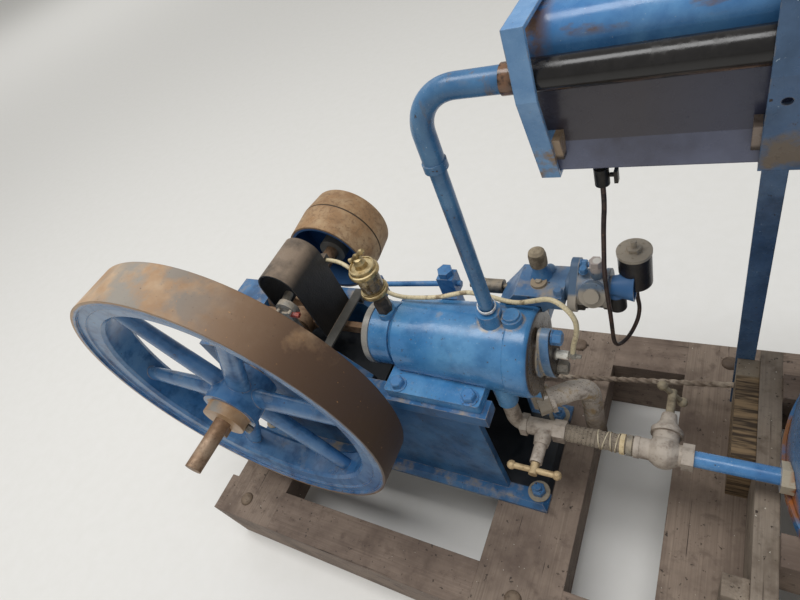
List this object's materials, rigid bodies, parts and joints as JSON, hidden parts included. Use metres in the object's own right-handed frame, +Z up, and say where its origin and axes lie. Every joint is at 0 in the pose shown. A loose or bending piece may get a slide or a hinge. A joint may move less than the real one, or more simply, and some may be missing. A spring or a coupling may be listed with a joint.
{
  "type": "stationary engine",
  "caption": "Horizontal open-crank engine with flywheel, belt pulley, fuel tank and round cooling tank on a timber skid.",
  "frame": {"origin": "on the floor, in the middle of the base", "axes": "+X along the cylinder from the crank to the head, +Y from the flywheel side to the belt pulley side, +Z up"},
  "size_m": [1.854, 0.648, 1.0121],
  "materials": {
    "weathered_timber": "rough",
    "worn_blue_iron": "worn gloss paint with rust",
    "rusty_tan_iron": "rusty",
    "bare_steel": "dull",
    "blue_paint": "gloss, chipped",
    "tank_blue_paint": "gloss with rust patches",
    "dark_guard_paint": "matte, dusty",
    "light_alloy": "dull",
    "pale_brass": "dull",
    "dusty_iron_fittings": "rough, dusty",
    "black_steel": "satin",
    "twine_wrapped_hose": "rough",
    "cream_lead": "satin",
    "brown_hose": "satin"
  },
  "bodies": {
    "engine": {"air_cup": "dark_guard_paint", "blue_pipe": "blue_paint", "crank_guard": "dark_guard_paint", "cross_timber_1": "weathered_timber", "cross_timber_2": "weathered_timber", "cross_timber_3": "weathered_timber", "cross_timber_4": "weathered_timber", "cylinder_casting": "blue_paint", "cylinder_head": "blue_paint", "engine_bed": "blue_paint", "exhaust_pipe": "dusty_iron_fittings", "far_bearing_cap": "blue_paint", "far_runner": "weathered_timber", "far_sawn_block": "weathered_timber", "far_tank_rail": "weathered_timber", "fuel_hose": "brown_hose", "fuel_mixer": "blue_paint", "fuel_tank_left_end": "tank_blue_paint", "fuel_tank_right_end": "tank_blue_paint", "fuel_tank_shell": "tank_blue_paint", "fuel_tap": "pale_brass", "globe_valve": "dusty_iron_fittings", "ignition_lead": "cream_lead", "ignition_timer": "light_alloy", "inlet_fittings": "dusty_iron_fittings", "left_band": "blue_paint", "left_bearer": "weathered_timber", "near_bearing_cap": "blue_paint", "near_runner": "weathered_timber", "near_sawn_block": "weathered_timber", "near_tank_rail": "weathered_timber", "oiler": "pale_brass", "piston_and_rod": "bare_steel", "pushrod_bearing": "blue_paint", "pushrod_guide": "blue_paint", "return_tube": "black_steel", "right_band": "blue_paint", "right_bearer": "weathered_timber", "spark_plug": "bare_steel", "tank_bottom": "tank_blue_paint", "tank_lid": "tank_blue_paint", "tank_post": "blue_paint", "tank_shell": "tank_blue_paint", "tie_rod": "bare_steel", "valve_chest": "blue_paint", "valve_stem": "bare_steel", "water_riser": "blue_paint", "wrapped_hose": "twine_wrapped_hose"},
    "crank": {"crankshaft": "bare_steel", "flywheel": "worn_blue_iron", "belt_pulley": "rusty_tan_iron", "big_end": "bare_steel"},
    "pushrod": {"pushrod": "blue_paint"},
    "drain_handle": {"drain_tap_handle": "pale_brass"},
    "valve_handle": {"valve_handle": "pale_brass"},
    "fuel_lever": {"fuel_tap_lever": "pale_brass"}
  },
  "joints": [
    {"name": "crank_spin", "type": "hinge", "parent": "engine", "child": "crank", "pos_m": [-0.622, 0.004, 0.516], "axis": [0, 1, 0], "continuous": true},
    {"name": "pushrod_slide", "type": "slide", "parent": "engine", "child": "pushrod", "axis": [0.9936, 0, 0.1132], "range_m": [0, 0.005]},
    {"name": "drain_tap_turn", "type": "hinge", "parent": "engine", "child": "drain_handle", "pos_m": [-0.12, -0.119, 0.361], "axis": [0, -1, 0], "range_deg": [0, 90]},
    {"name": "globe_valve_turn", "type": "hinge", "parent": "engine", "child": "valve_handle", "pos_m": [0.06, 0.061, 0.361], "axis": [0, 1, 0], "range_deg": [0, 720]},
    {"name": "fuel_tap_turn", "type": "hinge", "parent": "engine", "child": "fuel_lever", "pos_m": [0.008, 0.042, 0.815], "axis": [1, 0, 0], "range_deg": [0, 90]}
  ]
}
